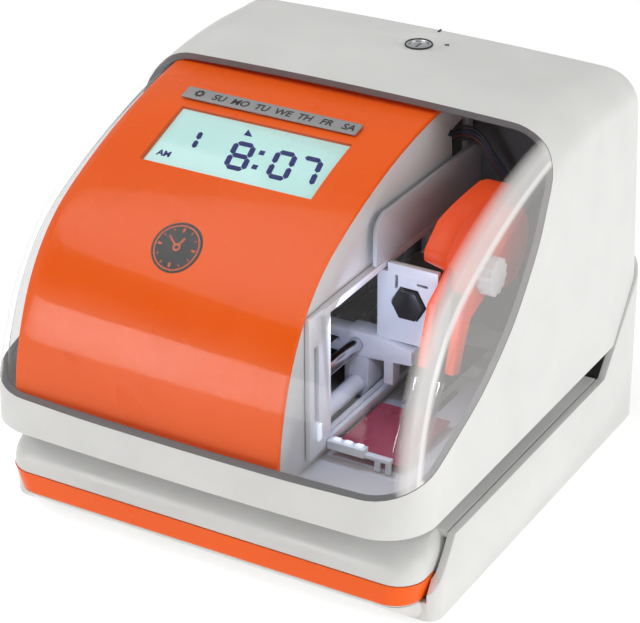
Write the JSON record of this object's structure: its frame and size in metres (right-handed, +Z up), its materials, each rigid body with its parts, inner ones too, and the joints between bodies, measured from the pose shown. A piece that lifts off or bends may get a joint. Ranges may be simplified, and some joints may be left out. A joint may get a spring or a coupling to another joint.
{
  "type": "punch time clock",
  "caption": "Desk time recorder: sloping clear window over an orange display fascia and a print carriage, hinged white cover, card throat open at front and right.",
  "frame": {"origin": "centre of the bounding box's bottom face, on the surface the feet stand on", "axes": "+X to the right seen from the front, +Y to the back, +Z up"},
  "size_m": [0.1664, 0.1828, 0.1415],
  "materials": {
    "white_plastic": "fine satin moulded ABS",
    "frame_plastic": "satin moulded ABS, light grey",
    "orange_plastic": "polished orange ABS",
    "clear_plastic": "clear polycarbonate",
    "display_glass": "pale aqua liquid crystal panel",
    "smoked_plastic": "smoked polycarbonate",
    "red_film": "translucent red mask film",
    "grey_strip": "light grey printed strip",
    "black_plastic": "satin black",
    "ribbon_cloth": "inked nylon ribbon",
    "rubber": "moulded rubber",
    "polished_steel": "ground and plated steel",
    "sheet_steel": "zinc-plated sheet",
    "heat_sink_metal": "extruded fins",
    "circuit_board": "green solder mask"
  },
  "bodies": {
    "chassis": {"base_shell": "white_plastic", "paper_table": "white_plastic", "deck_plate": "frame_plastic", "throat_block": "frame_plastic", "side_frame_right": "frame_plastic", "side_frame_left": "frame_plastic", "print_window_frame": "frame_plastic", "shaft_block": "frame_plastic", "button_panel": "frame_plastic", "lever_bracket": "frame_plastic", "lamp_bar": "frame_plastic", "guide_shaft_lower": "frame_plastic", "fascia": "orange_plastic", "trim_band": "orange_plastic", "ribbon_cassette": "orange_plastic", "lcd_lens": "clear_plastic", "ribbon_guide_left": "clear_plastic", "ribbon_guide_right": "clear_plastic", "lcd_module": "display_glass", "smoked_plate": "smoked_plastic", "ribbon_mask": "red_film", "day_strip": "grey_strip", "emblem_disc": "black_plastic", "power_inlet": "black_plastic", "backup_battery": "black_plastic", "ink_ribbon": "ribbon_cloth", "foot_front_left": "rubber", "foot_front_right": "rubber", "foot_rear_left": "rubber", "foot_rear_right": "rubber", "timing_belt": "rubber", "platen": "rubber", "guide_shaft_upper": "polished_steel", "base_screw_front_left": "polished_steel", "base_screw_front_right": "polished_steel", "base_screw_rear_left": "polished_steel", "base_screw_rear_right": "polished_steel", "rear_frame": "sheet_steel", "idler_bracket": "sheet_steel", "stepper_motor": "sheet_steel", "power_supply": "sheet_steel", "main_board": "circuit_board", "display_board": "circuit_board"},
    "cover": {"cover_shell": "white_plastic", "window_pane": "clear_plastic", "lock_barrel": "polished_steel", "lock_nut": "polished_steel", "hinge_pin_left": "polished_steel", "hinge_pin_right": "polished_steel"},
    "lock_plug": {"lock_plug": "polished_steel"},
    "carriage": {"carriage": "frame_plastic", "print_head": "black_plastic", "head_heat_sink": "heat_sink_metal"},
    "drive_pulley": {"drive_pulley": "frame_plastic"},
    "idler_pulley": {"idler_pulley": "frame_plastic"},
    "setting_button_1": {"setting_button_1": "black_plastic"},
    "setting_button_2": {"setting_button_2": "black_plastic"},
    "setting_button_3": {"setting_button_3": "black_plastic"},
    "ribbon_knob": {"ribbon_knob": "frame_plastic"},
    "paper_lever": {"paper_lever": "black_plastic"}
  },
  "joints": [
    {"name": "cover_hinge", "type": "hinge", "parent": "chassis", "child": "cover", "pos_m": [0, 0.0882, 0.0656], "axis": [-1, 0, 0], "range_deg": [0, 75]},
    {"name": "lock_turn", "type": "hinge", "parent": "cover", "child": "lock_plug", "pos_m": [0.0041, 0.0606, 0.132], "axis": [0, 0, -1], "range_deg": [0, 90]},
    {"name": "carriage_slide", "type": "slide", "parent": "chassis", "child": "carriage", "axis": [0, 1, 0], "range_m": [-0.004, 0.0245], "deforming": ["timing_belt"]},
    {"name": "drive_pulley_turn", "type": "hinge", "parent": "chassis", "child": "drive_pulley", "pos_m": [0.014, 0.0326, 0.058], "axis": [-1, 0, 0], "range_deg": [-36, 212]},
    {"name": "idler_pulley_turn", "type": "hinge", "parent": "chassis", "child": "idler_pulley", "pos_m": [0.014, -0.0594, 0.058], "axis": [-1, 0, 0], "range_deg": [-36, 212]},
    {"name": "setting_button_1_press", "type": "slide", "parent": "chassis", "child": "setting_button_1", "axis": [0, 0, -1], "range_m": [0, 0.0012], "stiffness_N_per_m": 400, "springref_m": -0.0004},
    {"name": "setting_button_2_press", "type": "slide", "parent": "chassis", "child": "setting_button_2", "axis": [0, 0, -1], "range_m": [0, 0.0012], "stiffness_N_per_m": 400, "springref_m": -0.0004},
    {"name": "setting_button_3_press", "type": "slide", "parent": "chassis", "child": "setting_button_3", "axis": [0, 0, -1], "range_m": [0, 0.0012], "stiffness_N_per_m": 400, "springref_m": -0.0004},
    {"name": "ribbon_knob_turn", "type": "hinge", "parent": "chassis", "child": "ribbon_knob", "pos_m": [0.069, -0.0134, 0.098], "axis": [1, 0, 0], "continuous": true},
    {"name": "paper_lever_swing", "type": "hinge", "parent": "chassis", "child": "paper_lever", "pos_m": [0.064, 0.0226, 0.0465], "axis": [1, 0, 0], "range_deg": [0, 25], "stiffness_Nm_per_rad": 0.002, "springref_deg": -5.73}
  ],
  "couplings": [
    {"joint": "drive_pulley_turn", "follows": "carriage_slide", "rad_per_m": 148.15},
    {"joint": "idler_pulley_turn", "follows": "carriage_slide", "rad_per_m": 148.15}
  ]
}
